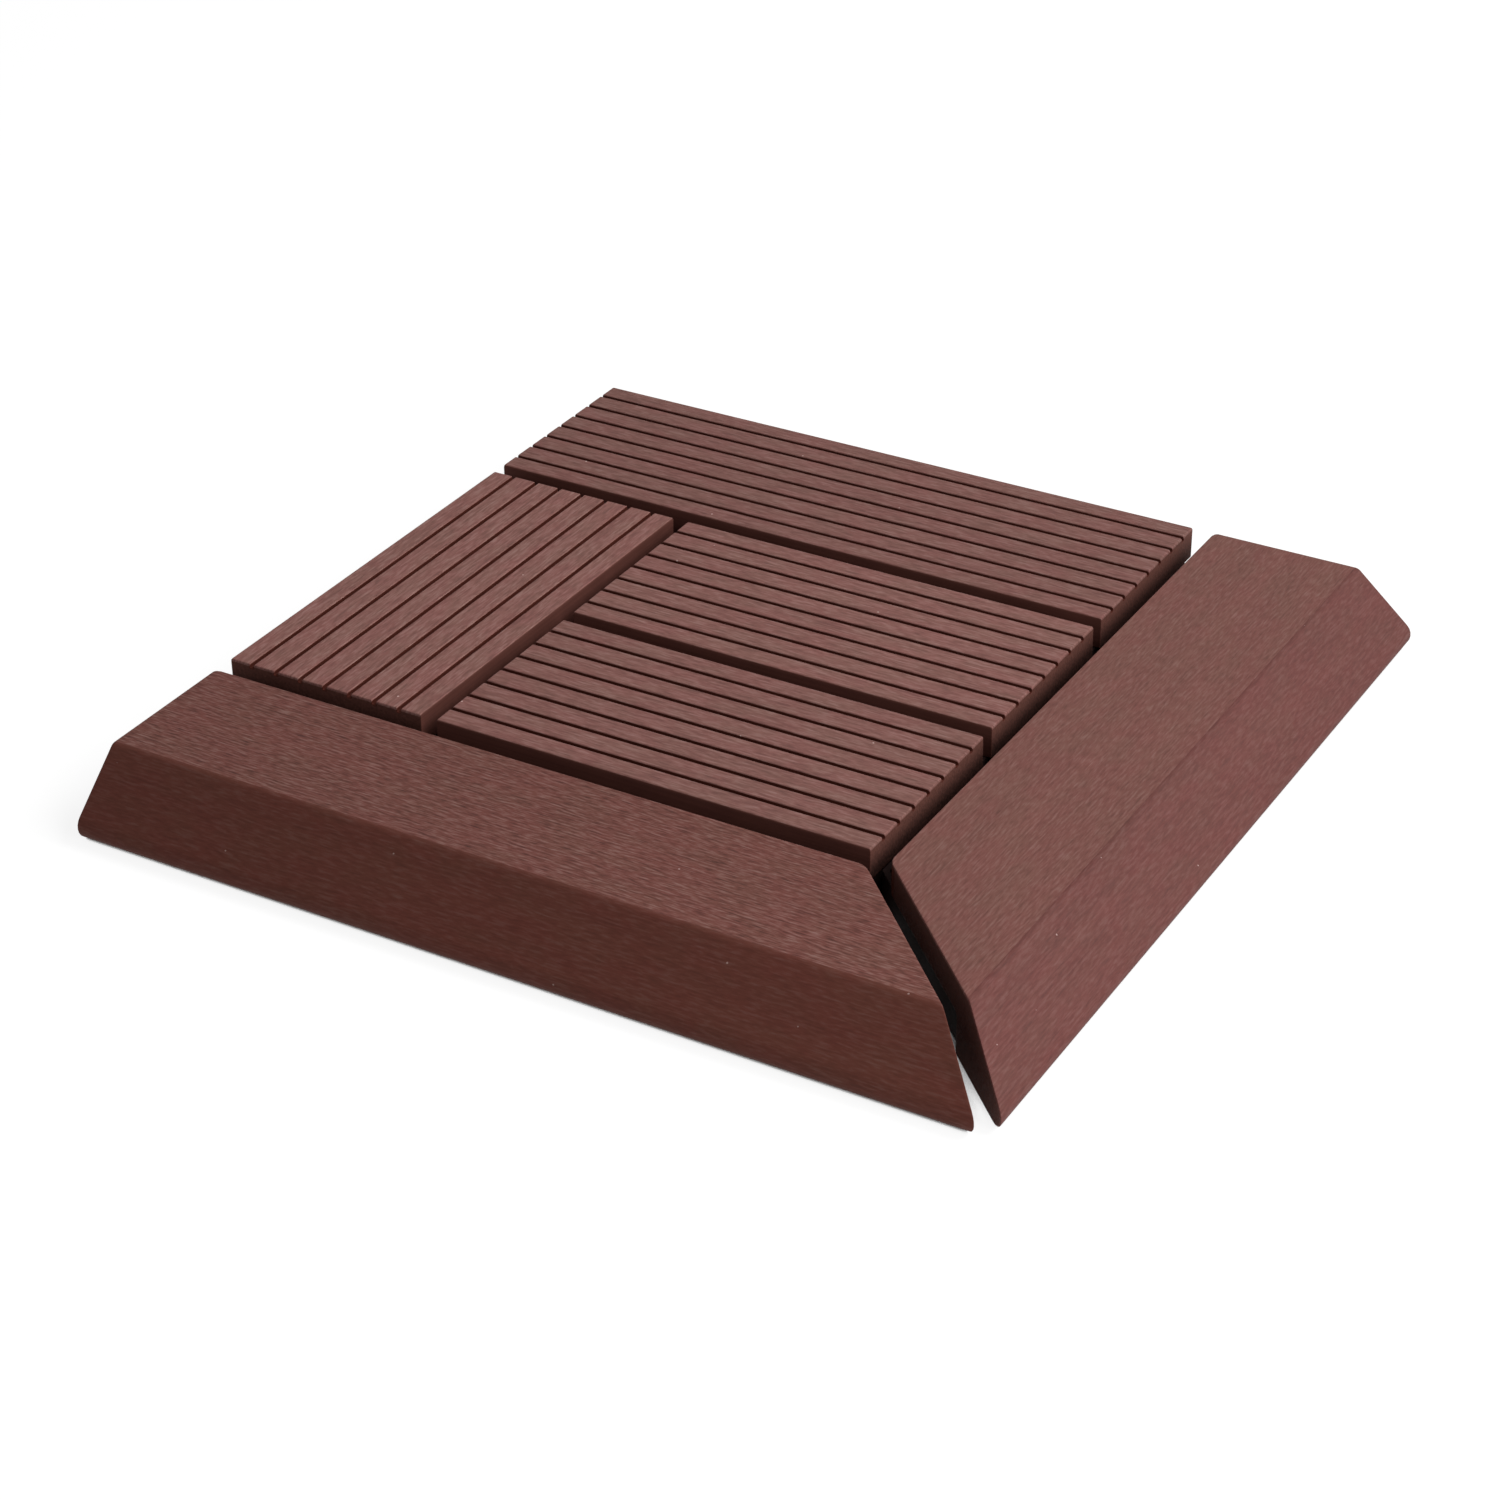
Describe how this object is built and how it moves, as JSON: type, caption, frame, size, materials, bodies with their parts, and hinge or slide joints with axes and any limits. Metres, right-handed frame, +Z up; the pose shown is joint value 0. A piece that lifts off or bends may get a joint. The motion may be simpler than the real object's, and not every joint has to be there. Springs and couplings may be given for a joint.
{
  "type": "interlocking deck tile",
  "caption": "Square deck tile of grooved reddish-brown composite boards on a black moulded interlocking base, with bevelled trims mitred at one corner.",
  "frame": {"origin": "centre of the square tile, on the ground", "axes": "+Z up, +X towards the right trim, +Y towards the long back board, away from the front trim"},
  "size_m": [0.4287, 0.4287, 0.032],
  "materials": {
    "grooved_board": "matt wood-plastic composite, finely brushed along the board",
    "trim_board": "matt wood-plastic composite with short fibre streaks",
    "black_plastic": "moulded polypropylene, fine satin",
    "screw_steel": "zinc-plated steel of the small screws below"
  },
  "bodies": {
    "root": {"back_slat": "grooved_board", "left_slat": "grooved_board", "middle_slat": "grooved_board", "front_slat": "grooved_board", "front_trim": "trim_board", "right_trim": "trim_board", "tile_base": "black_plastic", "front_trim_base": "black_plastic", "right_trim_base": "black_plastic"}
  },
  "joints": []
}
